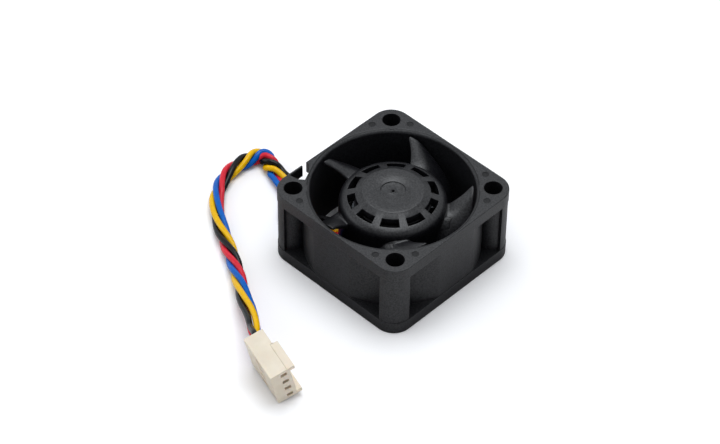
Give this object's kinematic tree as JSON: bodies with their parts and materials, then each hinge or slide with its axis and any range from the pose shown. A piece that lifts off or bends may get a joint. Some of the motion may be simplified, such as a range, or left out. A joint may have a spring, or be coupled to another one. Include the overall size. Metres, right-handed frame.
{
  "type": "cooling fan",
  "caption": "Square axial cooling fan with a vented hub, twisted blades, side pockets, a lead hook and a twisted lead set ending in a plug.",
  "frame": {"origin": "centre of the outlet face of the square frame, on the shaft's axis", "axes": "+Z along the shaft from the strut side towards the open inlet side; the leads leave the -X side"},
  "size_m": [0.0668, 0.0736, 0.02],
  "materials": {
    "frame_plastic": "fine moulded grain",
    "impeller_plastic": "fine moulded grain",
    "yoke_steel": "zinc plated",
    "magnet_rubber": "bonded ferrite",
    "shaft_steel": "ground",
    "spring_steel": "bright",
    "bearing_steel": "polished",
    "turned_brass": "turned",
    "core_steel": "laminated",
    "insulator_nylon": "satin",
    "winding_copper": "enamelled copper wire",
    "pin_tin": "tinned",
    "board_laminate": "solder resist",
    "chip_resin": "moulded resin",
    "capacitor_body": "satin",
    "lead_black": "satin",
    "lead_yellow": "satin",
    "lead_red": "satin",
    "lead_blue": "satin",
    "cable_plastic": "satin",
    "plug_nylon": "satin",
    "contact_tin": "tinned bronze"
  },
  "bodies": {
    "frame": {"fan_frame": "frame_plastic", "bearing_tube": "turned_brass", "lower_bearing_outer_ring": "bearing_steel", "upper_bearing_outer_ring": "bearing_steel", "stator_core": "core_steel", "upper_insulator": "insulator_nylon", "lower_insulator": "insulator_nylon", "winding_1": "winding_copper", "winding_2": "winding_copper", "winding_3": "winding_copper", "winding_4": "winding_copper", "winding_pins": "pin_tin", "circuit_board": "board_laminate", "driver_chip": "chip_resin", "hall_sensor": "chip_resin", "board_capacitors": "capacitor_body", "lead_black": "lead_black", "lead_yellow": "lead_yellow", "lead_red": "lead_red", "lead_blue": "lead_blue", "cable": "cable_plastic", "plug_housing": "plug_nylon", "plug_contact_1": "contact_tin", "plug_contact_2": "contact_tin", "plug_contact_3": "contact_tin", "plug_contact_4": "contact_tin"},
    "rotor": {"impeller": "impeller_plastic", "rotor_yoke": "yoke_steel", "magnet_ring": "magnet_rubber", "shaft_bush": "turned_brass", "shaft": "shaft_steel", "shaft_clip": "spring_steel", "preload_spring": "spring_steel", "lower_bearing_inner_ring": "bearing_steel", "upper_bearing_inner_ring": "bearing_steel", "lower_bearing_balls": "bearing_steel", "lower_bearing_cage": "spring_steel", "upper_bearing_balls": "bearing_steel", "upper_bearing_cage": "spring_steel"}
  },
  "joints": [
    {"name": "rotor_spin", "type": "hinge", "parent": "frame", "child": "rotor", "pos_m": [0, 0, 0.01], "axis": [0, 0, 1], "continuous": true}
  ]
}
